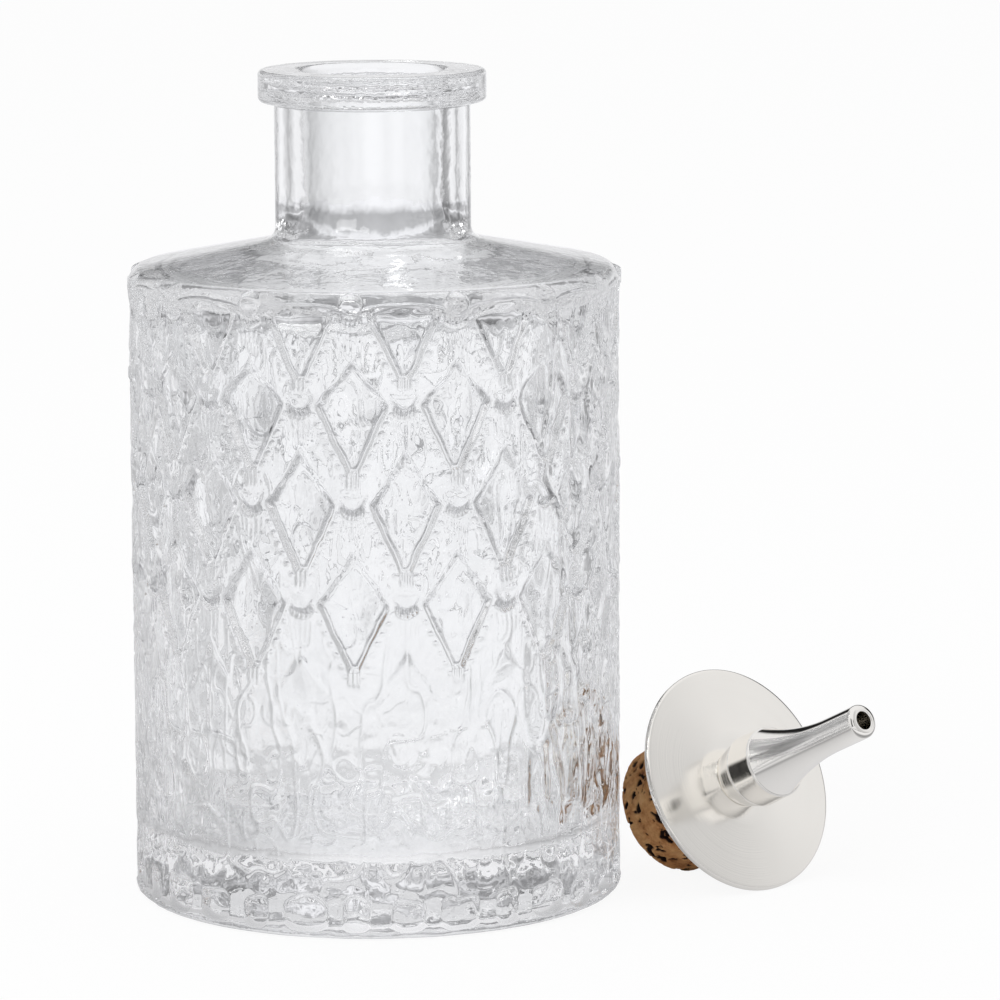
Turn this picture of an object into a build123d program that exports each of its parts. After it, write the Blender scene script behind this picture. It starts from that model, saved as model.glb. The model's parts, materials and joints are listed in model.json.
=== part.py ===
from build123d import *
import os
from math import asin, atan2, cos, degrees, hypot, radians, sin, sqrt, tan, tau

# Millimetres, +Z up. The bottle stands on Z = 0 round the Z axis, and its front looks along -Y.

# Glass bottle, outside
body_dia = 68.0
corner_height = 86.9            # base to the shoulder's outer corner
shoulder_rise = 4.0             # from that corner up to the foot of the neck
shoulder_round = 2.4
heel_round = 1.6
neck_dia = 26.9
neck_foot_round = 2.0
neck_length = 18.7              # from its foot up to the underside of the lip
lip_dia = 31.3
lip_height = 4.4
lip_round = 0.7
lip_root_round = 0.4

# Glass bottle, inside and underneath
bore_dia = 19.0
mouth_round = 1.2
wall = 4.0
floor_thickness = 9.5
floor_round = 3.0
inner_shoulder_round = 6.0
bore_foot_round = 11.0          # the bore opens gently into the shoulder
bearing_width = 5.0             # flat ring that the bottle stands on
push_up_depth = 2.0

# Pressed pattern: a sunk band with staggered rows of shallow kite-shaped windows.
# A window's own sizes are up and down from its widest line.
windows_per_row = 15
window_rows = 7
first_window_angle = 7.0        # degrees round from the front, in the lowest row
first_row_height = 5.75         # widest line of the lowest row
row_pitch = 13.35
window_width = 9.5
window_top = 7.5
window_point = 10.1             # where its lower edges would meet
window_foot = 8.3               # where they are cut off
window_top_depth = 0.45
window_foot_depth = 0.9
window_closing_share = 0.3      # how much its outline shrinks for each millimetre of depth
cutter_depth = 1.2
band_depth = 0.22
pattern_top = 84.3
pattern_bottom = 1.9
cut_overrun = 1.0
pocket_overrun = 0.05

# Stopper: a cork on a metal tube, under a metal disc with a dasher spout.
# It is modelled upright, with the underside of its disc at zero.
cork_squeeze = 0.2              # how much wider than the bore the cork's top is
cork_lead = 0.6                 # how much narrower than the bore its free end is
cork_length = 14.1
cork_round = 0.5
tube_dia = 5.0
tube_bore = 3.4
disc_dia = 32.1
disc_rim_thickness = 0.9
disc_round = 0.25
disc_dome = 0.5                 # rise of its face from the rim to the seat
disc_flat_dia = 12.0
disc_dome_round = 40.0
seat_foot_dia = 8.4
seat_top_dia = 10.4
seat_height = 3.4
seam_round = 0.15
collar_height = 4.1
collar_top_dia = 10.1
collar_step = 0.2               # where the collar turns into the spout
flare_length = 12.5
spout_dia = 4.8
spout_length = 6.7
spout_bore = 2.5
spout_lip_round = 0.8
socket_depth = 5.0              # how far the tube reaches into the nozzle

# Where the stopper lies, taken off and set down beside the bottle
set_down_gap = 0.3              # air between the bottle and the cork
set_down_y = 0.1
set_down_turn = -48.4           # degrees, the way its spout points, seen from above
touch_points = 180              # points tried round each of its rims

# Bottle sizes that follow
body_r = body_dia / 2
neck_r = neck_dia / 2
lip_r = lip_dia / 2
bore_r = bore_dia / 2
neck_foot_height = corner_height + shoulder_rise
lip_underside_height = neck_foot_height + neck_length
bottle_height = lip_underside_height + lip_height
shoulder_fall = shoulder_rise / (body_r - neck_r)
cavity_r = body_r - wall
cavity_corner_height = corner_height - wall * sqrt(1 + shoulder_fall ** 2) + wall * shoulder_fall
cavity_neck_height = cavity_corner_height + (cavity_r - bore_r) * shoulder_fall
push_up_r = body_r - heel_round - bearing_width

# Stopper sizes that follow
cork_top_r = (bore_dia + cork_squeeze) / 2
cork_end_r = (bore_dia - cork_lead) / 2
tube_r = tube_dia / 2
disc_r = disc_dia / 2
disc_flat_r = disc_flat_dia / 2
seat_foot_r = seat_foot_dia / 2
seat_top_r = seat_top_dia / 2
collar_top_r = collar_top_dia / 2
spout_r = spout_dia / 2
disc_face_height = disc_rim_thickness + disc_dome
seam_height = disc_face_height + seat_height
collar_top_height = seam_height + collar_height
spout_foot_height = collar_top_height + flare_length
spout_tip_height = spout_foot_height + spout_length


def turned(*paths):
    """Turn the area between the Z axis and an outline in the XZ plane."""
    closing = Line(paths[-1] @ 1, paths[0] @ 0)
    return revolve(make_face([*paths, closing]), Axis.Z)


def rod(radius, bottom, top):
    """A plain round bar on the Z axis, for a solid or for a hole."""
    bar = Cylinder(radius, top - bottom, align=(Align.CENTER, Align.CENTER, Align.MIN))
    return Pos(0, 0, bottom) * bar


def bottle_outside():
    """The bottle's outer form, before its hollow and its pressed pattern."""
    return turned(FilletPolyline(
        (0, 0, 0),
        (body_r, 0, 0),
        (body_r, 0, corner_height),
        (neck_r, 0, neck_foot_height),
        (neck_r, 0, lip_underside_height),
        (lip_r, 0, lip_underside_height),
        (lip_r, 0, bottle_height),
        (0, 0, bottle_height),
        radius=[heel_round, shoulder_round, neck_foot_round, lip_root_round, lip_round, lip_round],
    ))


def bottle_inside():
    """The space that holds the bitters, and the neck's bore up through the lip."""
    top = bottle_height + cut_overrun
    hollow = FilletPolyline(
        (0, 0, floor_thickness),
        (cavity_r, 0, floor_thickness),
        (cavity_r, 0, cavity_corner_height),
        (bore_r, 0, cavity_neck_height),
        (bore_r, 0, top),
        radius=[floor_round, inner_shoulder_round, bore_foot_round],
    )
    return turned(hollow, Line(hollow @ 1, (0, 0, top)))


def push_up():
    """A ball whose cap hollows the base inside its bearing ring."""
    ball_r = (push_up_r ** 2 + push_up_depth ** 2) / (2 * push_up_depth)
    return Pos(0, 0, push_up_depth - ball_r) * Sphere(ball_r)


def window_cutter():
    """The cutter for one window at the front, with sloping sides and a floor deepest at its foot."""
    edge_fall = body_r - sqrt(body_r ** 2 - (window_width / 2) ** 2)
    half_width = window_width / 2 / (1 - window_closing_share * edge_fall)
    foot_half_width = half_width * (1 - window_foot / window_point)
    sections = []
    for reach in (body_r - cutter_depth, body_r + pocket_overrun):
        scale = 1 + window_closing_share * (reach - body_r)
        corners = [
            (scale * half_width, -reach, 0),
            (0, -reach, scale * window_top),
            (-scale * half_width, -reach, 0),
            (-scale * foot_half_width, -reach, -scale * window_foot),
            (scale * foot_half_width, -reach, -scale * window_foot),
        ]
        sections.append(make_face(Polyline(*corners, close=True)))
    return loft(sections, ruled=True) - window_floor()


def window_floor():
    """The cone that one row's floors lie on."""
    lean = (window_foot_depth - window_top_depth) / (window_foot + window_top)
    foot_r = body_r - window_foot_depth - lean * cut_overrun
    top_r = body_r - window_top_depth + lean * cut_overrun
    height = window_foot + window_top + 2 * cut_overrun
    cone = Cone(foot_r, top_r, height, align=(Align.CENTER, Align.CENTER, Align.MIN))
    return Pos(0, 0, -window_foot - cut_overrun) * cone


def pressed_pattern():
    """The sunk band and every window in it: each row is staggered by half a pitch from the last."""
    pitch_angle = 360 / windows_per_row
    band = rod(body_r + cut_overrun, pattern_bottom, pattern_top)
    window = window_cutter()
    cutters = [band - rod(body_r - band_depth, pattern_bottom, pattern_top)]
    for row in range(window_rows):
        row_window = (Pos(0, 0, first_row_height + row * row_pitch) * window) & band
        start = first_window_angle + row % 2 * pitch_angle / 2
        for place in range(windows_per_row):
            cutters.append(Rot(0, 0, start + place * pitch_angle) * row_window)
    return cutters


def make_glass_bottle():
    bottle = bottle_outside() - bottle_inside() - push_up()
    mouth = bottle.edges().group_by(Axis.Z)[-1].sort_by(SortBy.RADIUS)[0]
    return fillet(mouth, mouth_round) - pressed_pattern()


def make_cork_stopper():
    cork = turned(FilletPolyline(
        (0, 0, -cork_length),
        (cork_end_r, 0, -cork_length),
        (cork_top_r, 0, 0),
        (0, 0, 0),
        radius=[cork_round, seam_round],
    ))
    return cork - rod(tube_r, -cork_length - cut_overrun, cut_overrun)


def make_stem_tube():
    top = seam_height + socket_depth
    outside = rod(tube_r, -cork_length, top)
    return outside - rod(tube_bore / 2, -cork_length - cut_overrun, top + cut_overrun)


def make_flange_disc():
    disc = turned(FilletPolyline(
        (0, 0, 0),
        (disc_r, 0, 0),
        (disc_r, 0, disc_rim_thickness),
        (disc_flat_r, 0, disc_face_height),
        (0, 0, disc_face_height),
        radius=[disc_round, disc_round, disc_dome_round],
    ))
    return disc - rod(tube_r, -cut_overrun, disc_face_height + cut_overrun)


def make_seat_ring():
    ring = turned(FilletPolyline(
        (0, 0, disc_face_height),
        (seat_foot_r, 0, disc_face_height),
        (seat_top_r, 0, seam_height),
        (0, 0, seam_height),
        radius=[seam_round, seam_round],
    ))
    return ring - rod(tube_r, disc_face_height - cut_overrun, seam_height + cut_overrun)


def make_dasher_nozzle():
    collar = FilletPolyline(
        (0, 0, seam_height),
        (seat_top_r, 0, seam_height),
        (collar_top_r, 0, collar_top_height),
        (collar_top_r - collar_step, 0, collar_top_height),
        radius=[seam_round, collar_step / 2],
    )
    spout = FilletPolyline(
        (spout_r, 0, spout_foot_height),
        (spout_r, 0, spout_tip_height),
        (0, 0, spout_tip_height),
        radius=[spout_lip_round],
    )
    flare = TangentArc(spout @ 0, collar @ 1, tangent=(0, 0, -1))
    nozzle = turned(collar, flare, spout)
    socket = rod(tube_r, seam_height - cut_overrun, seam_height + socket_depth)
    passage = rod(spout_bore / 2, seam_height, spout_tip_height + cut_overrun)
    return nozzle - socket - passage


def lying_tilt():
    """How far the spout points up when the disc's rim and the cork's end both touch the ground."""
    cork_taper = atan2(cork_top_r - cork_end_r, cork_length)
    cork_corner_r = cork_end_r + cork_round * (tan(cork_taper) - 1 / cos(cork_taper))
    along = disc_round + cork_length - cork_round
    across = disc_r - disc_round - cork_corner_r
    return atan2(across, along) + asin((disc_round - cork_round) / hypot(along, across))


def set_down():
    """The place of the lying stopper: on the ground, just clear of the bottle."""
    tilt = lying_tilt()
    turn = radians(set_down_turn)
    height = disc_round * (1 - sin(tilt)) + (disc_r - disc_round) * cos(tilt)
    distance = 0
    for rim_r, rim_height in ((cork_end_r, -cork_length), (cork_top_r, 0), (disc_r, 0)):
        for step in range(touch_points):
            angle = tau * step / touch_points
            sideways = rim_r * sin(angle)
            forward = rim_height * cos(tilt) - rim_r * cos(angle) * sin(tilt)
            point_x = forward * cos(turn) - sideways * sin(turn)
            point_y = set_down_y + forward * sin(turn) + sideways * cos(turn)
            nearest = body_r + set_down_gap
            if abs(point_y) < nearest:
                distance = max(distance, sqrt(nearest ** 2 - point_y ** 2) - point_x)
    return Pos(distance, set_down_y, height) * Rot(0, 0, set_down_turn) * Rot(0, 90 - degrees(tilt), 0)


stopper_place = set_down()
pieces = {
    "glass_bottle": make_glass_bottle(),
    "cork_stopper": stopper_place * make_cork_stopper(),
    "stem_tube": stopper_place * make_stem_tube(),
    "flange_disc": stopper_place * make_flange_disc(),
    "seat_ring": stopper_place * make_seat_ring(),
    "dasher_nozzle": stopper_place * make_dasher_nozzle(),
}

os.makedirs("parts", exist_ok=True)
for name, piece in pieces.items():
    export_step(piece, f"parts/{name}.step")
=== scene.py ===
import json
from math import cos, pi, radians, sin, sqrt, tau

import bpy
import numpy as np
from mathutils import Matrix, Vector


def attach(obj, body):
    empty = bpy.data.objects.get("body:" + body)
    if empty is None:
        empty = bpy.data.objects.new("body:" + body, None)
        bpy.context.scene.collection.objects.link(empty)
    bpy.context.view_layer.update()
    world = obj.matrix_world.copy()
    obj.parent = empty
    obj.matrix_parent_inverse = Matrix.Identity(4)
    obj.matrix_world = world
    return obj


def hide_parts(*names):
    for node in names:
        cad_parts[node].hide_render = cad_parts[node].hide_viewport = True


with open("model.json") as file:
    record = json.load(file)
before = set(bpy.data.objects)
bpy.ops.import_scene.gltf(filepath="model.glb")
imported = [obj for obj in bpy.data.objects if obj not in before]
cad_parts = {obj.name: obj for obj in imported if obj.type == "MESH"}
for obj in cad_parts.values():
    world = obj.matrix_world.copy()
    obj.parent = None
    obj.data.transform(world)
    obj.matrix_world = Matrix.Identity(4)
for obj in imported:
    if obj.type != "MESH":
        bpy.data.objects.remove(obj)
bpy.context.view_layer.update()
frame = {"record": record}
record = frame["record"]
mounts = {mount["name"]: mount for mount in record["mounts"]}

# Sizes are in millimetres until a mesh is written, and the scene is in metres.
MM = 0.001

# Camera, fitted to the photograph's outline
camera_place = (17.19, -725.37, 173.79)
camera_pitch = 9.364            # degrees down from level
camera_roll = -0.294
camera_lens = 191.2
camera_sensor = 36
camera_reach = 50               # metres

# Glass bottle, as in the CAD part
body_r = 34.0
corner_height = 86.9
shoulder_rise = 4.0
shoulder_round = 2.4
heel_round = 1.6
neck_r = 13.45
neck_foot_round = 2.0
neck_length = 18.7
lip_r = 15.65
lip_height = 4.4
lip_round = 0.7
lip_root_round = 0.4
bore_r = 9.5
mouth_round = 1.2
wall = 4.0
floor_thickness = 9.5
floor_round = 3.0
inner_shoulder_round = 3.5
bore_foot_round = 11.0
bearing_width = 5.0
push_up_depth = 2.0
neck_foot_height = corner_height + shoulder_rise
lip_underside = neck_foot_height + neck_length
bottle_height = lip_underside + lip_height
push_up_r = body_r - heel_round - bearing_width
shoulder_slope = shoulder_rise / (body_r - neck_r)
cavity_r = body_r - wall
cavity_corner = corner_height - wall * sqrt(1 + shoulder_slope ** 2) + wall * shoulder_slope
cavity_neck = cavity_corner + (cavity_r - bore_r) * shoulder_slope
middle_r = 0.5                  # the cavity's outline ends this far from the axis

# How fine the glass's mesh is
columns_per_diamond = 80
outside_step = 0.18
outside_arc_step = 0.16
mouth_step = 0.09
inside_step = 0.8
inside_arc_step = 0.5
bore_join = 8.0                 # the outside's outline ends this far down the bore
bore_join_gap = 0.3             # and the inside's starts this far below

# Rows of kite-shaped windows, each measured from its widest line
diamonds_per_row = 15
first_diamond_angle = 8.1       # degrees round from the front, in the lowest row
first_row_height = 5.25
row_pitch = 13.35
top_row_height = 73.0
top_row_drop = 1.3              # the top row is this much lower than an even pitch puts it
top_row_run = 4.0               # and the drop grows over this much height
widest_rise = 0.5               # a window is widest this far above its row's centre
window_half_width = 5.1
window_top = 7.5
window_tip = 10.8               # where its lower edges would meet
window_foot = 9.2               # and where they end
window_deep = 0.48
window_foot_deeper = 0.18
window_slope = 0.24
window_top_slope = 1.3
window_deepening = 5.0          # its floor sinks from this far above the widest line to as far below
pillow_half_width = 3.5
pillow_half_height = 6.2
pillow_drop = 0.2
pillow_high = 0.66
pillow_power = 1.5
groove_width = 0.85
groove_deep = 0.55
groove_start = (0.1, -0.7)      # above the widest line: where it is faint, and where it is clear
windows_faint_height = 31.0     # below this the windows are too faint to see
windows_clear_height = 38.0
windows_faint_share = 0.04

# Marks on the land round the windows
tick_pitch = 1.0
tick_width = 0.36
tick_deep = 0.2
tick_near = 0.2                 # from the window's edge to a tick's near end
tick_far = 1.1
tick_end_soft = 0.25
ticks_start = (-0.9, -1.5)      # above the widest line, again faint and clear
ticks_stop = (1.2, 0.7)         # below the window's foot
flute_pitch = 0.62
flute_width = 0.34
flute_deep = 0.42
flute_length = 2.3
flute_overlap = 0.5             # it starts this far above the window's foot
flute_end_soft = 0.9
knot_half_width = 1.7
knot_drop = 2.0
knot_sag = 0.7
knot_sag_reach = 1.6            # it has sagged that much this far from its middle
knot_height = 1.5
knot_side_soft = 0.35
knot_foot_soft = 0.2
knot_top_soft = 1.2
knot_deep = 0.2
knot_line_pitch = 0.62
knot_line_width = 0.24
knot_line_deep = 0.8
knot_brow_width = 0.36
knot_brow_rise = 0.05
knot_brow_deep = 0.2
knot_brow_line_deep = 0.3
bead_rise = 2.1
bead_high = 0.16
bead_half_height = 0.9
drape_pitch = 0.85
drape_width = 0.42
drape_half_width = 2.4
drape_length = 4.2
drape_start = (-0.3, -0.7)      # above the nick, faint and clear
drape_end_soft = 2.6
drape_side_soft = 0.8
drape_gather_share = 0.1        # its folds draw together by this share in each mm down
drape_deep = 0.06

# The pressed band, its border and the facets at its foot
pattern_bottom = 1.9
pattern_top = 84.9
land_depth = 0.22               # the land lies this far inside the plain ring above it
border_deep = 0.2
border_line_deep = 0.07
border_line_width = 0.34
border_line_drop = 0.05
border_drop = 0.1
border_edge = 0.4
border_clear_depth = 0.9        # the rows are clear this far below the border
band_edge = 0.3
border_swing = 0.5
scallop_pitch = 14.2
scallop_width = 4.2
scallop_dip = 1.1
scallop_wave = 0.4
boss_height = 85.7              # the middle of the small domes on the border
boss_r = 1.5
boss_half_height = 1.3
boss_high = 0.5
facet_top = 6.2
facet_half_width = 2.45
facet_deep = 0.22
facet_most_deep = 1.3
facet_margin = 0.6
facet_astray = 0.5              # how much one facet differs from the next in place,
facet_wider = 0.75              # in half its width,
facet_lower = 0.4               # in height
facet_lean_change = 0.13        # and in how its foot leans in
facet_foot_lean = 0.27
facet_side_lean = 0.12
facet_lean_reach = 5.0
facet_top_wave = 0.25
facet_foot_drop = 0.8
facet_squareness = 3            # 2 would make each facet an oval
seam_angle = 47                 # degrees round from the front to one of the mould's two seams
seam_high = 0.4
seam_width = 0.8
streak_deep = 0.46
streak_width = 0.34
streak_reach = 8.0              # the glass is streaky this far to either side of a seam

# Crests inside the lip: height and width
lip_crests = ((112.2, 0.5), (110.8, 0.6))
lip_crest_high = 0.5
cloud_top = 101.0               # the bore is cloudy below this height
cloud_run = 7.0                 # and most so this far further down

# Unevenness of the glass: layers of noise, each with its height, cell size and seed
astray_waves = ((0.15, 2.1, 11), (0.06, 0.8, 12))
adrift_waves = ((0.15, 2.1, 13), (0.06, 0.8, 14))
patchy_wave = (0.38, 2.6, 18)
wrinkle_waves = ((0.036, 1.0, 5), (0.02, 0.55, 6))
lump_waves = ((0.22, 4.4, 15), (0.12, 2.2, 22))
crease_waves = ((1, (1, 3.0, 16)), (0.6, (1, 1.9, 17)))
crease_width = 0.13
crease_deep = 0.17
streak_wave = (1, 3.2, 19)
seam_wave = (2.2, 9.0, 20)
swell_waves = ((0.11, 6.5, 3), (0.06, 3.1, 4))
crest_wander_wave = (0.13, 0.5, 8)
crest_broken_wave = (0.5, 0.4, 9)
cloud_waves = ((0.05, 1.5, 21), (0.02, 0.7, 23))
# and the heights where each is least, and where it is in full
wrinkle_heights = (46, 26)
crease_heights = (48, 34)
above_facet_heights = (6.5, 8.5)
seam_heights = (12, 20)

# Stopper, as in the CAD part, upright in its own frame
cork_top_r = 9.6
cork_end_r = 9.2
cork_length = 14.1
cork_end_round = 0.5
cork_top_round = 0.15
tube_r = 2.5
tube_bore_r = 1.7
tube_top = 9.8
tube_round = 0.15
disc_r = 16.05
disc_rim = 0.9
disc_back_round = 0.25
disc_front_round = 0.4
disc_face = 1.4
disc_flat_r = 6.0
disc_dome_round = 40.0
seat_foot_r = 4.2
seat_top_r = 5.2
seat_join = 3.0                 # height on its bore where its outline starts
seam_height = 4.8
seam_round = 0.15
hidden_round = 0.05
collar_top_r = 5.05
collar_top_height = 8.9
collar_step = 0.2
spout_r = 2.4
spout_foot_height = 21.4
spout_tip_height = 28.1
spout_bore_r = 1.25
spout_lip_round = 0.8
spout_bore_round = 0.2
socket_depth = 5.0
closing_gap = 0.1               # a turned outline ends this far above its start

# Pits in the cork: where two values stand, each pit gets one between them
side_pit_count = 420
side_pit_half_length = 0.18     # of the shortest
side_pit_longer = 0.95          # how much more the longest has
side_pit_slimness = (0.3, 0.7)
side_pit_lean = (-1.0, 1.7)     # radians
side_pit_deep = (0.25, 0.8)
end_pit_count = 40
end_pit_r = (0.25, 0.7)
end_pit_deep = 0.4


def value_noise(points, cell, seed):
    """Smooth noise between -1 and 1 at each point, from random values on a grid of cells."""
    period = 32
    lattice = np.random.default_rng(seed).uniform(-1, 1, (period, period, period))
    scaled = np.asarray(points, float) / cell
    low = np.floor(scaled).astype(int)
    part = scaled - low
    part = part * part * (3 - 2 * part)
    total = np.zeros(len(scaled))
    for dx in (0, 1):
        for dy in (0, 1):
            for dz in (0, 1):
                weight = np.ones(len(scaled))
                for axis, step in enumerate((dx, dy, dz)):
                    weight *= part[:, axis] if step else 1 - part[:, axis]
                corner = (low + (dx, dy, dz)) % period
                total += weight * lattice[corner[:, 0], corner[:, 1], corner[:, 2]]
    return total


def waves(rings, *layers):
    """Unevenness over rings of points: a sum of noise, each layer with its height, cell and seed."""
    points = rings.reshape(-1, 3)
    total = sum(height * value_noise(points, cell, seed) for height, cell, seed in layers)
    return total.reshape(rings.shape[:2])


def fade(x, start, end):
    """A soft step from 0 to 1 while x goes from start to end."""
    share = np.clip((x - start) / (end - start), 0, 1)
    return share * share * (3 - 2 * share)


def ridge(x, width):
    """A soft bump of height 1 at zero, about this wide."""
    return np.exp(-(x / (0.5 * width)) ** 2)


def nearest(x, spacing):
    """How far x lies from the nearest multiple of the spacing."""
    return (x + spacing / 2) % spacing - spacing / 2


def repeated(x, spacing, width):
    """Soft lines across x, one to each spacing, with one at zero."""
    return ridge(nearest(x, spacing), width)


def rounded_outline(corners, rounds, step):
    """Points along a line through corners (radius, height) with each inner corner rounded."""
    corners = [np.array(c, float) for c in corners]
    outline = [corners[0]]
    for before, corner, after, size in zip(corners, corners[1:], corners[2:], rounds):
        back = (before - corner) / np.linalg.norm(before - corner)
        ahead = (after - corner) / np.linalg.norm(after - corner)
        half = 0.5 * np.arccos(np.clip(back @ ahead, -1, 1))
        if size == 0:
            outline.append(corner)
            continue
        reach = size / np.tan(half)
        middle = corner + (back + ahead) / np.linalg.norm(back + ahead) * size / np.sin(half)
        start, end = corner + back * reach, corner + ahead * reach
        turn = pi - 2 * half
        count = max(4, int(np.ceil(size * turn / step)))
        a, b = start - middle, end - middle
        for k in range(count + 1):
            t = k / count
            mix = np.sin((1 - t) * turn) * a + np.sin(t * turn) * b
            outline.append(middle + mix / np.sin(turn))
    outline.append(corners[-1])
    return np.array(outline)


def filled_in(outline, step):
    """The outline with extra points, so that none lie more than a step apart."""
    dense = [outline[0]]
    for start, end in zip(outline, outline[1:]):
        count = max(1, int(np.ceil(np.linalg.norm(end - start) / step)))
        for k in range(1, count + 1):
            dense.append(start + (end - start) * k / count)
    return np.array(dense)


def fine_outline(corners, rounds, step=0.4, arc_step=0.05):
    return filled_in(rounded_outline(corners, rounds, arc_step), step)


def turned_rings(outline, columns):
    """Rings of points round the Z axis, one for each point of the outline."""
    angle = np.arange(columns) * tau / columns
    ring = np.stack([np.cos(angle), np.sin(angle)], axis=-1)
    rings = np.zeros((len(outline), columns, 3))
    rings[:, :, :2] = outline[:, None, :1] * ring[None]
    rings[:, :, 2] = outline[:, None, 1]
    return rings


def grid_object(name, rings, poles=False):
    """A closed mesh from rings of points in mm. Its ends close at poles, or else they are joined."""
    count, columns = rings.shape[:2]
    points = rings.reshape(-1, 3)
    index = np.arange(count * columns).reshape(count, columns)
    beside = np.roll(index, -1, axis=1)
    quads = np.stack([index[:-1], beside[:-1], beside[1:], index[1:]], axis=-1).reshape(-1, 4)
    faces = [quads]
    if poles:
        first_pole = len(points)
        points = np.vstack([points, rings[0].mean(axis=0), rings[-1].mean(axis=0)])
        faces.append(np.stack([beside[0], index[0], np.full(columns, first_pole)], axis=-1))
        faces.append(np.stack([index[-1], beside[-1], np.full(columns, first_pole + 1)], axis=-1))
    else:
        faces.append(np.stack([index[-1], beside[-1], beside[0], index[0]], axis=-1))
    loops = np.concatenate([group.ravel() for group in faces])
    sizes = np.concatenate([np.full(len(group), group.shape[1]) for group in faces])
    mesh = bpy.data.meshes.new(name)
    mesh.vertices.add(len(points))
    mesh.vertices.foreach_set("co", (points * MM).astype(np.float32).ravel())
    mesh.loops.add(len(loops))
    mesh.loops.foreach_set("vertex_index", loops.astype(np.int32))
    mesh.polygons.add(len(sizes))
    starts = np.concatenate([[0], np.cumsum(sizes)[:-1]])
    mesh.polygons.foreach_set("loop_start", starts.astype(np.int32))
    mesh.polygons.foreach_set("loop_total", sizes.astype(np.int32))
    mesh.update(calc_edges=True)
    mesh.polygons.foreach_set("use_smooth", np.ones(len(sizes), bool))
    mesh.validate()
    piece = bpy.data.objects.new(name, mesh)
    bpy.context.scene.collection.objects.link(piece)
    return piece


# The pressed pattern is a depth below the plain cylinder, over angle and height.

def arc(turn):
    """The length of a turn in degrees round the body."""
    return radians(1) * turn * body_r


def edge_distance(across, up, height):
    """How far a point lies inside a slanted window edge that ends this far up or down."""
    slant = 1 / sqrt(1 / window_half_width ** 2 + 1 / height ** 2)
    return (1 - np.abs(across) / window_half_width - up / height) * slant


def tick_depth(across, up, lower):
    """Short ticks on the land, all along a window's lower edges."""
    along = np.abs(across) * window_half_width - up * window_tip
    along = along / np.hypot(window_half_width, window_tip)
    tick = repeated(along + 0.5 * lower, tick_pitch, tick_width)
    beside = fade(lower, -tick_far, tick_end_soft - tick_far) * fade(lower, -tick_near, -2 * tick_near)
    faint_stop, clear_stop = ticks_stop
    below = fade(up, *ticks_start) * fade(up, -window_foot - faint_stop, -window_foot - clear_stop)
    return tick_deep * tick * beside * below


def flute_depth(across, above_foot):
    """Three short flutes that stand below a window's foot."""
    tall = fade(above_foot, flute_overlap, 0)
    tall *= fade(above_foot, -flute_length, flute_end_soft - flute_length)
    flutes = ridge(across, flute_width) + ridge(np.abs(across) - flute_pitch, flute_width)
    return flute_deep * flutes * tall


def window_depth(across, up):
    """One kite-shaped window with its pillow and groove, the ticks beside it and its flutes."""
    upper = edge_distance(across, up, window_top)
    lower = edge_distance(across, -up, window_tip)
    above_foot = up + window_foot
    low_side = np.minimum(lower, above_foot)
    inside = fade(low_side, 0, window_slope) * fade(upper, 0, window_top_slope)
    deeper = fade(up, window_deepening, -window_deepening)
    depth = (window_deep + window_foot_deeper * deeper) * inside
    pillow = 1 - (across / pillow_half_width) ** 2 - ((up + pillow_drop) / pillow_half_height) ** 2
    depth -= pillow_high * np.clip(pillow, 0, 1) ** pillow_power
    groove = np.clip(1 - np.abs(low_side - groove_width / 2) / (groove_width / 2), 0, 1)
    depth += groove_deep * groove * fade(up, *groove_start) * inside
    return depth + tick_depth(across, up, lower) + flute_depth(across, above_foot)


def knot_depth(across, up):
    """The small curved nick between two neighbouring windows, the bead on it and the drape below."""
    level = up + knot_drop - knot_sag * (across / knot_sag_reach) ** 2
    near = fade(np.abs(across), knot_half_width, knot_half_width - knot_side_soft)
    lines = repeated(across, knot_line_pitch, knot_line_width)
    nick = np.clip(level / knot_foot_soft, 0, 1) * fade(level, knot_height, knot_height - knot_top_soft)
    depth = (knot_deep + knot_line_deep * lines) * nick * near
    brow = ridge(level - knot_brow_rise, knot_brow_width)
    depth += (knot_brow_deep + knot_brow_line_deep * lines) * brow * near
    from_bead = (across / knot_half_width) ** 2 + ((level - bead_rise) / bead_half_height) ** 2
    bead = fade(from_bead, 1.4, 0.4)
    drape = repeated(across * (1 - drape_gather_share * level), drape_pitch, drape_width)
    drape *= fade(level, *drape_start) * fade(level, -drape_length, drape_end_soft - drape_length)
    drape *= fade(np.abs(across), drape_half_width, drape_half_width - drape_side_soft)
    return depth - bead_high * bead + drape_deep * drape


def rows_depth(angle, height):
    """Every row's windows and knots, each row staggered by half a pitch from the last."""
    pitch = 360 / diamonds_per_row
    lowest = first_row_height + widest_rise
    row = np.floor((height - lowest) / row_pitch)
    depth = np.zeros_like(angle)
    for this_row in (row, row + 1):
        turn = angle - first_diamond_angle - (this_row % 2) * pitch / 2
        up = height - lowest - this_row * row_pitch
        depth += window_depth(arc(nearest(turn, pitch)), up)
        depth += knot_depth(arc(nearest(turn - pitch / 2, pitch)), up)
    return depth


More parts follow.
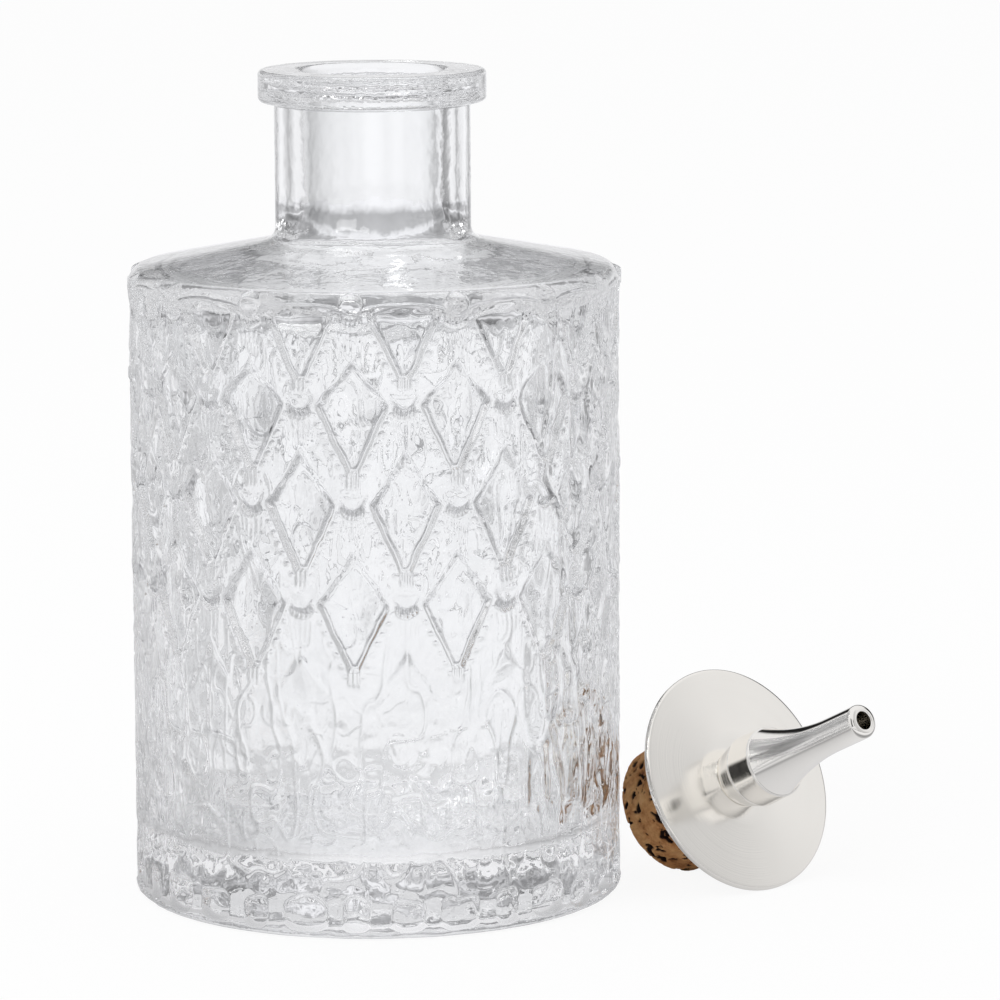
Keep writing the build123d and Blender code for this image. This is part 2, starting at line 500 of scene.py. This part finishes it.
def facet_depth(angle, height):
    """The row of flat facets just above the heel, two to each window. The sines make each one differ."""
    pitch = 180 / diamonds_per_row
    order = np.floor((angle - first_diamond_angle) / pitch + 0.5)
    across = arc(angle - first_diamond_angle - order * pitch) - facet_astray * np.sin(3.1 * order)
    wide = facet_half_width + facet_wider * np.sin(2.4 * order)
    top = facet_top - facet_lower * (1 + np.sin(1.7 * order + 1))
    top = top - facet_top_wave * np.sin(1.3 * across + order)
    bottom = pattern_bottom - facet_foot_drop
    middle, tall = 0.5 * (top + bottom), 0.5 * (top - bottom)
    sideways, upward = np.abs(across / wide), np.abs((height - middle) / tall)
    reach = (sideways ** facet_squareness + upward ** facet_squareness) ** (1 / facet_squareness)
    inside = (1 - reach) * 1.7
    lean = facet_side_lean * np.sin(2.1 * order) * across
    foot_lean = facet_foot_lean + facet_lean_change * np.sin(4.3 * order)
    lean += foot_lean * np.clip(top - height, 0, facet_lean_reach)
    return fade(inside, 0, 0.3) * np.clip(facet_deep + lean, 0, facet_most_deep)


def body_depth(angle, height):
    """The pattern with its plain margins, its scalloped top border and the domes on it."""
    pitch = 360 / diamonds_per_row
    from_boss = arc(nearest(angle - first_diamond_angle - pitch / 2, pitch))
    scallop = scallop_dip * (1 - ridge(from_boss, scallop_width))
    scallop = scallop - scallop_wave * np.cos(from_boss * tau / scallop_pitch)
    below_border = pattern_top - border_drop + border_swing * scallop - height
    band = fade(below_border, 0, band_edge)
    band *= fade(height, pattern_bottom - band_edge, pattern_bottom + band_edge)
    clear = fade(height, windows_faint_height, windows_clear_height)
    clear = windows_faint_share + (1 - windows_faint_share) * clear
    above_facets = fade(height, facet_top - facet_margin, facet_top + facet_margin)
    clear *= fade(below_border, 0, border_clear_depth) * above_facets
    row_place = height + top_row_drop * fade(height, top_row_height, top_row_height + top_row_run)
    depth = (land_depth + rows_depth(angle, row_place) * clear) * band
    depth += border_line_deep * ridge(below_border - border_line_drop, border_line_width)
    depth += facet_depth(angle, height)
    depth += border_deep * fade(below_border, 0, -border_edge)
    from_middle = (from_boss / boss_r) ** 2 + ((height - boss_height) / boss_half_height) ** 2
    dome = fade(from_middle, 1.35, 0.35)
    return depth * (1 - dome) - boss_high * dome


def skin_depth(rings, height, depth):
    """Wrinkles, creases and soft lumps of pressed glass, strongest low down and in the windows."""
    tall = rings * (1, 1, 0.5)
    in_window = fade(depth, 0, 0.5)
    wrinkle = np.abs(waves(tall, *wrinkle_waves))
    wrinkle *= 0.4 + 0.45 * fade(height, *wrinkle_heights) + 0.5 * in_window
    crease = sum(share * ridge(waves(tall, wave), crease_width) for share, wave in crease_waves)
    crease *= crease_deep * np.maximum(fade(height, *crease_heights), 0.75 * in_window)
    above_facets = 0.25 + 0.75 * fade(height, *above_facet_heights)
    return (wrinkle + crease) * above_facets + np.abs(waves(rings, *lump_waves))


def seam_depth(rings, angle, height):
    """The mould's two seams, each a low wandering ridge in streaky glass."""
    side = arc(nearest(angle - seam_angle, 180))
    streaks = ridge(waves(rings * (1, 1, 0.3), streak_wave), streak_width)
    depth = streak_deep * streaks * fade(np.abs(side), streak_reach, streak_reach - 4)
    depth -= seam_high * ridge(side + waves(rings * (0, 0, 1), seam_wave), seam_width)
    return depth * fade(height, *seam_heights)


def pressed_depth(rings):
    """How far the pressed side lies inside the plain outside, for rings of the outside."""
    angle = np.degrees(np.arctan2(rings[:, :, 0], -rings[:, :, 1]))
    radius = np.hypot(rings[:, :, 0], rings[:, :, 1])
    height = rings[:, :, 2]
    on_side = fade(radius, body_r - 2.2, body_r - 0.2)
    astray = np.degrees(waves(rings, *astray_waves) / body_r)
    depth = body_depth(angle + astray, height + waves(rings, *adrift_waves))
    patchy = 1 + waves(rings, patchy_wave)
    depth = np.where(depth > land_depth, land_depth + (depth - land_depth) * patchy, depth)
    depth = depth * on_side
    on_pattern = on_side * fade(height, pattern_top, pattern_top - 1.5)
    uneven = skin_depth(rings, height, depth) + seam_depth(rings, angle, height)
    return depth + uneven * on_pattern


def bore_swell(rings, swell):
    """How far the bore swells out: two crests inside the lip, and clouds at its foot."""
    height = rings[:, :, 2]
    wander = waves(rings, crest_wander_wave)
    crests = sum(ridge(height - middle + wander, width) for middle, width in lip_crests)
    broken = 1 + waves(rings * (0.6, 0.6, 1.4), crest_broken_wave)
    cloud = waves(rings, *cloud_waves) * fade(height, cloud_top, cloud_top - cloud_run)
    return 0.25 * swell + cloud + lip_crest_high * crests * broken


def underside_outline():
    """The shallow dome under the bottle, from its middle to the ring that the bottle stands on."""
    ball_r = (push_up_r ** 2 + push_up_depth ** 2) / (2 * push_up_depth)
    radius = push_up_r * np.linspace(0.02, 1, 26)
    return np.stack([radius, push_up_depth - ball_r + np.sqrt(ball_r ** 2 - radius ** 2)], axis=-1)


def outside_outline():
    """From the standing ring up the side, the shoulder and the neck, over the lip into the bore."""
    corners = rounded_outline(
        [(push_up_r, 0), (body_r, 0), (body_r, corner_height), (neck_r, neck_foot_height),
         (neck_r, lip_underside), (lip_r, lip_underside), (lip_r, bottle_height),
         (bore_r, bottle_height), (bore_r, bottle_height - bore_join)],
        [heel_round, shoulder_round, neck_foot_round, lip_root_round, lip_round, lip_round, mouth_round],
        outside_arc_step,
    )
    outline = filled_in(corners, outside_step)
    mouth = outline[:, 0] < bore_r + mouth_round
    return np.vstack([outline[~mouth], filled_in(outline[mouth], mouth_step)])


def inside_outline():
    """From the bore down the cavity's wall to the middle of its floor."""
    corners = rounded_outline(
        [(bore_r, bottle_height - bore_join - bore_join_gap), (bore_r, cavity_neck),
         (cavity_r, cavity_corner), (cavity_r, floor_thickness), (middle_r, floor_thickness)],
        [bore_foot_round, inner_shoulder_round, floor_round],
        inside_arc_step,
    )
    return filled_in(corners, inside_step)


def build_glass():
    """The whole bottle as one closed mesh, from its underside over its outside to its inside."""
    under, outside, inside = underside_outline(), outside_outline(), inside_outline()
    outline = np.vstack([under, outside[1:], inside])
    rings = turned_rings(outline, diamonds_per_row * columns_per_diamond)
    order, level = np.arange(len(outline)), outline[:, 1]
    is_inside = order >= len(under) + len(outside) - 1
    is_outside = (order >= len(under)) & ~is_inside
    on_floor = is_inside & (level < floor_thickness + 0.5)
    in_cavity = is_inside & (level < cavity_neck + 1) & ~on_floor
    in_bore = (outline[:, 0] < bore_r + 1.5) & (level > cavity_neck + 1)

    radius = np.hypot(rings[:, :, 0], rings[:, :, 1])
    swell = waves(rings, *swell_waves)
    moved = radius.copy()
    moved[is_outside] = np.minimum(radius[is_outside] - pressed_depth(rings[is_outside]), body_r)
    moved[in_cavity] += 1.6 * swell[in_cavity]
    moved[in_bore] += bore_swell(rings[in_bore], swell[in_bore])
    rings[:, :, :2] *= (moved / radius)[:, :, None]
    rings[on_floor, :, 2] += 1.2 * swell[on_floor]
    return grid_object("pressed_glass_bottle", rings, poles=True)


def on_stopper(piece):
    """Lay a piece, built upright in the stopper's frame, where the CAD stopper lies."""
    own = np.empty(len(piece.data.vertices) * 3, np.float32)
    piece.data.vertices.foreach_get("co", own)
    layer = piece.data.attributes.new("own_place", "FLOAT_VECTOR", "POINT")
    layer.data.foreach_set("vector", own)
    along = Vector(mounts["spout"]["axis"]).normalized()
    plug_middle = Vector(mounts["cork_plug"]["pos_m"])
    origin = plug_middle + along * (cork_length / 2 * MM)
    side = along.cross(Vector((0, 0, 1))).normalized()
    up = along.cross(side)
    turn = Matrix((side, up, along)).transposed().to_4x4()
    piece.data.transform(Matrix.Translation(origin) @ turn)
    return piece


def side_pits(points, chooser):
    """Depth of the small leaning pits in the cork's side."""
    angle = np.arctan2(points[:, 1], points[:, 0])
    wobble = 0.4 * value_noise(points, 0.7, 31)
    drift = 0.4 * value_noise(points + 40, 0.7, 32)
    pit = np.zeros(len(points))
    for _ in range(side_pit_count):
        at_angle = chooser.uniform(0, tau)
        at_height = chooser.uniform(-cork_length + 0.4, -0.3)
        long = side_pit_half_length + side_pit_longer * chooser.uniform(0, 1) ** 3
        thin = long * chooser.uniform(*side_pit_slimness)
        lean = chooser.uniform(*side_pit_lean)
        deep = chooser.uniform(*side_pit_deep)
        around = nearest(angle - at_angle, tau) * cork_end_r + wobble
        upward = points[:, 2] - at_height + drift
        first = around * cos(lean) + upward * sin(lean)
        second = -around * sin(lean) + upward * cos(lean)
        spot = (first / long) ** 2 + (second / thin) ** 2
        pit = np.maximum(pit, deep * fade(spot, 1.3, 0.3))
    return pit


def end_pits(points, chooser):
    """Depth of the round pits in the cork's free end."""
    wobble = 0.5 * value_noise(points, 0.7, 31)
    pit = np.zeros(len(points))
    for _ in range(end_pit_count):
        x, y = chooser.uniform(-9, 9, 2)
        size = chooser.uniform(*end_pit_r)
        spot = ((points[:, 0] - x) ** 2 + (points[:, 1] - y) ** 2) / size ** 2 + wobble
        pit = np.maximum(pit, end_pit_deep * fade(spot, 1.2, 0.2))
    return pit


def build_cork():
    """The drilled cork, with pits and chipped edges. Its pit attribute darkens them."""
    columns = 420
    outline = fine_outline(
        [(tube_r, -cork_length), (cork_end_r, -cork_length), (cork_top_r, 0), (tube_r, 0)],
        [cork_end_round, cork_top_round], step=0.16, arc_step=0.08,
    )
    rings = turned_rings(outline, columns)
    points = rings.reshape(-1, 3)
    radius = np.hypot(points[:, 0], points[:, 1])
    height = points[:, 2]
    side = radius > cork_end_r - 0.9
    end = (height < -cork_length + 0.3) & ~side
    chooser = np.random.default_rng(21)
    pit = side_pits(points, chooser)
    pit = np.maximum(pit, end_pits(points, chooser) * end)
    grain = 0.05 * value_noise(points, 0.45, 33) + 0.05 * value_noise(points, 1.3, 34)
    near_end = fade(height, 1.4 - cork_length, 0.2 - cork_length)
    chip = np.clip(value_noise(points, 1.5, 35) - 0.25, 0, 1) * near_end
    sunk = pit + np.clip(grain + 0.05, 0, 1) + 0.7 * chip
    points[:, :2] *= np.where(side, (radius - sunk) / radius, 1)[:, None]
    points[:, 2] += np.where(end, pit + np.clip(grain + 0.04, 0, 1), 0)
    bore = np.linspace(rings[-1], rings[0], 30)[1:-1]
    piece = grid_object("cork_plug_body", np.concatenate([rings, bore]))
    layer = piece.data.attributes.new("pit", "FLOAT", "POINT")
    shade = np.concatenate([pit + chip, np.zeros(bore.shape[0] * columns)])
    layer.data.foreach_set("value", shade.astype(np.float32))
    return piece


def lathe_piece(name, corners, rounds, columns=256):
    """A closed ring turned from an outline that starts and ends on the piece's own bore."""
    start_r, start_height = corners[0]
    outline = fine_outline(corners + [(start_r, start_height + closing_gap)], rounds)
    return grid_object(name, turned_rings(outline, columns))


def build_tube():
    return lathe_piece(
        "drawn_stem_tube",
        [(tube_bore_r, 0), (tube_bore_r, -cork_length), (tube_r, -cork_length), (tube_r, tube_top),
         (tube_bore_r, tube_top)],
        [tube_round] * 4,
    )


def build_disc():
    return lathe_piece(
        "satin_cover_disc",
        [(tube_r, disc_face / 2), (tube_r, 0), (disc_r, 0), (disc_r, disc_rim), (disc_flat_r, disc_face),
         (tube_r, disc_face)],
        [hidden_round, disc_back_round, disc_front_round, disc_dome_round, hidden_round],
        columns=512,
    )


def build_seat_ring():
    return lathe_piece(
        "polished_seat_ring",
        [(tube_r, seat_join), (tube_r, disc_face), (seat_foot_r, disc_face), (seat_top_r, seam_height),
         (tube_r, seam_height)],
        [hidden_round, seam_round, seam_round, hidden_round],
        columns=384,
    )


def nozzle_outline():
    """The collar's wall, its step, the long flare that meets the spout, and the rolled tip."""
    arc_step = 0.03
    collar = rounded_outline(
        [(tube_r, seam_height), (seat_top_r, seam_height), (collar_top_r, collar_top_height),
         (collar_top_r - collar_step, collar_top_height)],
        [seam_round, collar_step / 2], arc_step,
    )
    # The flare is one arc that is square to the spout's foot and passes through the collar's top
    foot = np.array([spout_r, spout_foot_height])
    top = collar[-1]
    rise, run = foot[1] - top[1], top[0] - foot[0]
    bend = (rise ** 2 + run ** 2) / (2 * run)
    turn = np.arcsin(rise / bend) * np.linspace(1, 0, 60)[1:]
    flare = np.stack([foot[0] + bend * (1 - np.cos(turn)), foot[1] - bend * np.sin(turn)], axis=-1)
    socket = seam_height + socket_depth
    spout = rounded_outline(
        [flare[-1], (spout_r, spout_tip_height), (spout_bore_r, spout_tip_height), (spout_bore_r, socket),
         (tube_r, socket), (tube_r, seam_height + closing_gap)],
        [spout_lip_round, spout_bore_round, 0, 0], arc_step,
    )
    return np.vstack([collar, flare, spout[1:]])


def build_nozzle():
    outline = filled_in(nozzle_outline(), 0.3)
    return grid_object("polished_dasher_nozzle", turned_rings(outline, 384))


# Materials

def node(tree, kind, **settings):
    made = tree.nodes.new(kind)
    for key, value in settings.items():
        setattr(made, key, value)
    return made


def fill(made, **values):
    for key, value in values.items():
        made.inputs[key.replace("_", " ")].default_value = value
    return made


def new_material(name):
    material = bpy.data.materials.new(name)
    material.use_nodes = True
    return material, material.node_tree, material.node_tree.nodes["Principled BSDF"]


def noise(tree, place, scale, detail, rough=0.5):
    made = node(tree, "ShaderNodeTexNoise")
    fill(made, Scale=scale, Detail=detail, Roughness=rough)
    tree.links.new(place, made.inputs["Vector"])
    return made.outputs["Fac"]


def to_range(tree, source, low, high, start=0.0, end=1.0):
    """Carry the range from start to end over to the range from low to high."""
    made = node(tree, "ShaderNodeMapRange")
    for key, value in (("From Min", start), ("From Max", end), ("To Min", low), ("To Max", high)):
        made.inputs[key].default_value = value
    tree.links.new(source, made.inputs["Value"])
    return made.outputs["Result"]


def bump(tree, shader, height, strength, distance):
    made = node(tree, "ShaderNodeBump")
    fill(made, Strength=strength, Distance=distance)
    tree.links.new(height, made.inputs["Height"])
    tree.links.new(made.outputs["Normal"], shader.inputs["Normal"])


def ramp(tree, source, stops):
    made = node(tree, "ShaderNodeValToRGB")
    line = made.color_ramp
    while len(line.elements) < len(stops):
        line.elements.new(0.5)
    for element, (place, colour) in zip(line.elements, stops):
        element.position = place
        element.color = (*colour, 1)
    tree.links.new(source, made.inputs["Fac"])
    return made.outputs["Color"]


def own_place(tree):
    """Where a point is in the stopper's own upright frame."""
    return node(tree, "ShaderNodeAttribute", attribute_name="own_place").outputs["Vector"]


def glass_material():
    """Clear glass with a trace of blue, faint haze and a slightly uneven surface."""
    material, tree, shader = new_material("clear_pressed_glass")
    place = node(tree, "ShaderNodeTexCoord").outputs["Object"]
    fill(shader, Transmission_Weight=1.0, IOR=1.5)
    tints = [(0.3, (0.978, 0.984, 0.987)), (0.7, (0.99, 0.994, 0.995))]
    tint = ramp(tree, noise(tree, place, scale=60, detail=2), tints)
    tree.links.new(tint, shader.inputs["Base Color"])
    haze = to_range(tree, noise(tree, place, scale=220, detail=3), low=0.0, high=0.03, start=0.5, end=0.75)
    tree.links.new(haze, shader.inputs["Roughness"])
    bump(tree, shader, noise(tree, place, scale=420, detail=2), strength=0.25, distance=0.0002)
    return material


def cork_material():
    """Mottled brown cork, darker in its pits."""
    material, tree, shader = new_material("natural_cork")
    place = own_place(tree)
    browns = [
        (0.3, (0.2, 0.075, 0.025)),
        (0.43, (0.52, 0.24, 0.09)),
        (0.58, (0.72, 0.4, 0.175)),
        (0.8, (0.82, 0.53, 0.27)),
    ]
    base = ramp(tree, noise(tree, place, scale=330, detail=6, rough=0.75), browns)
    pit = node(tree, "ShaderNodeAttribute", attribute_name="pit").outputs["Fac"]
    mix = node(tree, "ShaderNodeMix", data_type="RGBA")
    paler, darker, mixed_colour = mix.inputs[6], mix.inputs[7], mix.outputs[2]
    tree.links.new(to_range(tree, pit, low=0, high=1, start=0.04, end=0.28), mix.inputs["Factor"])
    tree.links.new(base, paler)
    darker.default_value = (0.016, 0.006, 0.003, 1)
    tree.links.new(mixed_colour, shader.inputs["Base Color"])
    shader.inputs["Specular IOR Level"].default_value = 0.25
    rough = to_range(tree, noise(tree, place, scale=900, detail=2), low=0.75, high=0.95)
    tree.links.new(rough, shader.inputs["Roughness"])
    grain = noise(tree, place, scale=1500, detail=4, rough=0.7)
    bump(tree, shader, grain, strength=0.5, distance=0.0002)
    return material


def metal_material(name, colour, roughness, ring_scale, ring_strength):
    """Plated metal with fine turned rings about its own axis, and soft smudges."""
    material, tree, shader = new_material(name)
    shader.inputs["Metallic"].default_value = 1.0
    place = own_place(tree)
    smudge = noise(tree, place, scale=110, detail=3)
    pale = tuple(min(1, c * 1.01) for c in colour)
    deep = tuple(c * 0.98 for c in colour)
    tree.links.new(ramp(tree, smudge, [(0.3, deep), (0.7, pale)]), shader.inputs["Base Color"])
    tree.links.new(to_range(tree, smudge, *roughness, start=0.3, end=0.7), shader.inputs["Roughness"])
    split = node(tree, "ShaderNodeSeparateXYZ")
    tree.links.new(place, split.inputs["Vector"])
    flat = node(tree, "ShaderNodeCombineXYZ")
    tree.links.new(split.outputs["X"], flat.inputs["X"])
    tree.links.new(split.outputs["Y"], flat.inputs["Y"])
    from_axis = node(tree, "ShaderNodeVectorMath", operation="LENGTH")
    tree.links.new(flat.outputs["Vector"], from_axis.inputs[0])
    rings = node(tree, "ShaderNodeCombineXYZ")
    tree.links.new(from_axis.outputs["Value"], rings.inputs["X"])
    tree.links.new(split.outputs["Z"], rings.inputs["Y"])
    turning = noise(tree, rings.outputs["Vector"], ring_scale, detail=2)
    bump(tree, shader, turning, ring_strength, distance=0.0001)
    return material


def finish_piece(piece, material, body, slot, *replaced):
    piece.data.materials.clear()
    piece.data.materials.append(material)
    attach(piece, body)
    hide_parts(*replaced)


def build_object():
    polished = metal_material("polished_silver_plate", (0.94, 0.92, 0.885), (0.02, 0.05), 5200, 0.08)
    satin = metal_material("satin_silver_plate", (0.95, 0.925, 0.88), (0.09, 0.12), 6500, 0.10)
    drawn = metal_material("drawn_tube_steel", (0.7, 0.7, 0.69), (0.22, 0.35), 3000, 0.4)
    finish_piece(build_glass(), glass_material(), "bottle", "clear_glass", "glass_bottle")
    finish_piece(on_stopper(build_cork()), cork_material(), "stopper", "natural_cork", "cork_stopper")
    finish_piece(on_stopper(build_tube()), drawn, "stopper", "tube_metal", "stem_tube")
    finish_piece(on_stopper(build_disc()), satin, "stopper", "satin_plate", "flange_disc")
    finish_piece(on_stopper(build_seat_ring()), polished, "stopper", "polished_plate", "seat_ring")
    finish_piece(on_stopper(build_nozzle()), polished, "stopper", "polished_plate", "dasher_nozzle")


# Floor, light and camera

def greys(*stops):
    """Colour stops for a ramp from pairs of place and level, all a trace blue."""
    return [(place, (level, level, level * 1.01)) for place, level in stops]


floor_r = 3.2
floor_colour = (0.9, 0.9, 0.9, 1)
# How bright the floor's painted glow looks in metal and glass, by distance as a share of floor_tone_reach
# in metres
floor_tone_reach = 2.0
# The dip near 0.022 is a painted shadow round the object's foot, seen only in metal and glass
painted_shadow_floor_tones = greys(
    (0.0, 1.0), (0.012, 0.97), (0.022, 0.68), (0.032, 0.8), (0.05, 0.95), (0.15, 0.96), (0.5, 1.0),
)
floor_middle = 0.09             # metres in front of the object that the sideways tones spread from
floor_white_share = 0.92        # how much of the floor the camera sees as plain white
floor_mirrored_share = 0.9
# How bright the studio looks in a mirroring surface, by the sine of the height above the horizon
sky_strength = 0.9
sky_tones = greys((0.0, 0.9), (1.0, 1.0))
# and how bright it looks through glass
glass_sky_tones = greys(
    (0.0, 1.0), (0.03, 0.84), (0.07, 0.5), (0.165, 0.56), (0.2, 0.92), (0.235, 1.0), (0.262, 0.58),
    (0.34, 0.38), (0.46, 0.36), (0.54, 0.62), (0.75, 0.84), (1.0, 0.95),
)
# and there by direction too, from 0 for -X to 1 for +X, and from 0 for -Y to 1 for +Y
across_tones = greys(
    (0.0, 1.0), (0.04, 0.4), (0.09, 0.9), (0.16, 0.94), (0.22, 0.66), (0.28, 0.42), (0.36, 0.68),
    (0.44, 0.93), (0.48, 1.0), (0.56, 1.0), (0.63, 0.86), (0.7, 0.42), (0.75, 0.84), (0.81, 0.96),
    (0.86, 0.4), (0.91, 0.24), (0.96, 0.85), (1.0, 1.0),
)
depth_tones = greys((0.0, 0.3), (0.35, 0.34), (0.5, 0.7), (0.62, 1.0))
# Dark parts of the studio that metal and glass mirror: ranges of direction along X, Y and Z
dark_tone = 0.02
dark_zones = (
    ((-0.56, 1.2), (0.25, 1.2), (0.14, 0.5)),      # above the backdrop
    ((-0.42, -0.13), (-1.2, -0.52), (-0.4, 0.7)),  # round the camera
    ((0.33, 0.48), (-1.2, -0.6), (0.28, 0.68)),    # beside the camera
)
side_panel = (0.72, 1.0)        # tone of the panel on the right, from its front edge to its back
light_bounces = 48
mirror_bounces = 40


def seen_by(tree, *kinds):
    """1 for rays of these kinds, and 0 for the rest."""
    path = node(tree, "ShaderNodeLightPath")
    total = path.outputs[kinds[0]]
    for kind in kinds[1:]:
        either = node(tree, "ShaderNodeMath", operation="MAXIMUM")
        tree.links.new(total, either.inputs[0])
        tree.links.new(path.outputs[kind], either.inputs[1])
        total = either.outputs[0]
    return total


def set_or_link(tree, socket, value):
    """Give a socket a number, or link another node's output to it."""
    if isinstance(value, bpy.types.NodeSocket):
        tree.links.new(value, socket)
    else:
        socket.default_value = value


def multiplied(tree, source, factor):
    """A value times a number or another value."""
    made = node(tree, "ShaderNodeMath", operation="MULTIPLY")
    tree.links.new(source, made.inputs[0])
    set_or_link(tree, made.inputs[1], factor)
    return made.outputs[0]


def mixed(tree, factor, first, second):
    """Go from the first shader to the second as the factor goes from 0 to 1."""
    made = node(tree, "ShaderNodeMixShader")
    for socket, source in zip(made.inputs, (factor, first, second)):
        tree.links.new(source, socket)
    return made.outputs[0]


def mixed_value(tree, factor, first, second):
    """Go from the first value or number to the second as the factor goes from 0 to 1."""
    made = node(tree, "ShaderNodeMix", data_type="FLOAT")
    tree.links.new(factor, made.inputs["Factor"])
    set_or_link(tree, made.inputs["A"], first)
    set_or_link(tree, made.inputs["B"], second)
    return made.outputs["Result"]


def inside_zone(tree, split, zone, soft=0.05):
    """1 for directions inside a range along each axis, with soft borders."""
    total = None
    for axis, (low, high) in zip("XYZ", zone):
        for edge, tones in ((low, (0, 1)), (high, (1, 0))):
            side = to_range(tree, split.outputs[axis], *tones, edge - soft, edge + soft)
            total = side if total is None else multiplied(tree, total, side)
    return total


def toned_by_direction(tree, place, colour, **axis_tones):
    """Shade a colour by the direction that it is seen in, with tones for each axis named."""
    way = node(tree, "ShaderNodeVectorMath", operation="NORMALIZE")
    tree.links.new(place, way.inputs[0])
    split = node(tree, "ShaderNodeSeparateXYZ")
    tree.links.new(way.outputs["Vector"], split.inputs["Vector"])
    for axis, tones in axis_tones.items():
        share = to_range(tree, split.outputs[axis], 0, 1, start=-1, end=1)
        both = node(tree, "ShaderNodeVectorMath", operation="MULTIPLY")
        tree.links.new(colour, both.inputs[0])
        tree.links.new(ramp(tree, share, tones), both.inputs[1])
        colour = both.outputs["Vector"]
    return colour


def mirrored_painted_floor(tree):
    """The floor as metal and glass show it: a painted glow, toned by distance, and by direction."""
    place = node(tree, "ShaderNodeTexCoord").outputs["Object"]
    far = node(tree, "ShaderNodeVectorMath", operation="LENGTH")
    tree.links.new(place, far.inputs[0])
    share = to_range(tree, far.outputs["Value"], 0, 1, start=0, end=floor_tone_reach)
    ahead = node(tree, "ShaderNodeVectorMath", operation="ADD")
    tree.links.new(place, ahead.inputs[0])
    ahead.inputs[1].default_value = (0, floor_middle, 0)
    # The dip in these tones paints a shadow round the object's foot
    tone = ramp(tree, share, painted_shadow_floor_tones)
    # and the sideways tones paint darker bands across the glow
    tone = toned_by_direction(tree, ahead.outputs["Vector"], tone, X=across_tones)
    glow = node(tree, "ShaderNodeEmission")
    tree.links.new(tone, glow.inputs["Color"])
    return glow.outputs[0]


def build_floor():
    """A wide pale floor that keeps the object's shadow; in metal and glass it shows a toned painted glow.
    """
    bpy.ops.mesh.primitive_circle_add(vertices=96, radius=floor_r, fill_type="NGON", location=(0, 0, 0))
    ground = bpy.context.object
    ground.name = "studio_floor"
    material, tree, shader = new_material("pale_floor")
    fill(shader, Base_Color=floor_colour, Roughness=0.9)
    shader.inputs["Specular IOR Level"].default_value = 0.0
    white = node(tree, "ShaderNodeEmission")
    to_camera = multiplied(tree, seen_by(tree, "Is Camera Ray"), floor_white_share)
    plain = mixed(tree, to_camera, shader.outputs[0], white.outputs[0])
    # Metal and glass see mostly the painted glow, not the lit floor
    through = multiplied(tree, seen_by(tree, "Is Glossy Ray", "Is Transmission Ray"), floor_mirrored_share)
    look = mixed(tree, through, plain, mirrored_painted_floor(tree))
    tree.links.new(look, tree.nodes["Material Output"].inputs["Surface"])
    ground.data.materials.append(material)


def studio_level(tree, split):
    """The studio's own light and dark parts: a panel on the right, and the dark zones."""
    panel = to_range(tree, split.outputs["Y"], *side_panel, start=-0.12, end=0.06)
    on_right = to_range(tree, split.outputs["X"], 0, 1, start=0.4, end=0.6)
    level = mixed_value(tree, on_right, 1.0, panel)
    for zone in dark_zones:
        level = mixed_value(tree, inside_zone(tree, split, zone), level, dark_tone)
    return level


def build_world():
    """White to the camera, with its own tones where metal and glass mirror it and through glass."""
    world = bpy.data.worlds.new("studio")
    bpy.context.scene.world = world
    world.use_nodes = True
    tree = world.node_tree
    mirrored = tree.nodes["Background"]
    way = node(tree, "ShaderNodeTexCoord").outputs["Generated"]
    split = node(tree, "ShaderNodeSeparateXYZ")
    tree.links.new(way, split.inputs["Vector"])
    lit = node(tree, "ShaderNodeVectorMath", operation="SCALE")
    tree.links.new(ramp(tree, split.outputs["Z"], sky_tones), lit.inputs[0])
    tree.links.new(studio_level(tree, split), lit.inputs["Scale"])
    tree.links.new(lit.outputs["Vector"], mirrored.inputs["Color"])
    mirrored.inputs["Strength"].default_value = sky_strength
    through = node(tree, "ShaderNodeBackground")
    glass_sky = ramp(tree, split.outputs["Z"], glass_sky_tones)
    glass_sky = toned_by_direction(tree, way, glass_sky, X=across_tones, Y=depth_tones)
    tree.links.new(glass_sky, through.inputs["Color"])
    white = node(tree, "ShaderNodeBackground")
    white.inputs["Color"].default_value = (1, 1, 1, 1)
    look = mixed(tree, seen_by(tree, "Is Transmission Ray"), mirrored.outputs[0], through.outputs[0])
    look = mixed(tree, seen_by(tree, "Is Camera Ray"), look, white.outputs[0])
    tree.links.new(look, tree.nodes["World Output"].inputs["Surface"])


def area_light(name, place, target, size, power):
    """A soft light that shows in no mirroring surface."""
    light = bpy.data.lights.new(name, "AREA")
    light.shape = "RECTANGLE"
    light.size, light.size_y = size
    light.energy = power
    lamp = bpy.data.objects.new(name, light)
    bpy.context.scene.collection.objects.link(lamp)
    lamp.location = place
    aim = Vector(target) - Vector(place)
    lamp.rotation_euler = aim.to_track_quat("-Z", "Y").to_euler()
    lamp.visible_glossy = False


def build_camera():
    camera = bpy.data.cameras.new("photo_camera")
    camera.lens = camera_lens
    camera.sensor_width = camera_sensor
    camera.clip_end = camera_reach
    seat = bpy.data.objects.new("photo_camera", camera)
    bpy.context.scene.collection.objects.link(seat)
    tilt = Matrix.Rotation(radians(90 - camera_pitch), 4, "X")
    roll = Matrix.Rotation(radians(camera_roll), 4, "Z")
    seat.matrix_world = Matrix.Translation(Vector(camera_place) * MM) @ tilt @ roll
    bpy.context.scene.camera = seat


bpy.context.scene.view_settings.view_transform = "Standard"
bpy.context.scene.cycles.max_bounces = light_bounces
bpy.context.scene.cycles.transmission_bounces = light_bounces
bpy.context.scene.cycles.glossy_bounces = mirror_bounces
build_camera()
build_floor()
build_world()
area_light("key_softbox", place=(-0.7, -0.8, 1.1), target=(0, 0, 0.05), size=(0.8, 0.8), power=9.0)
build_object()

bpy.context.view_layer.update()
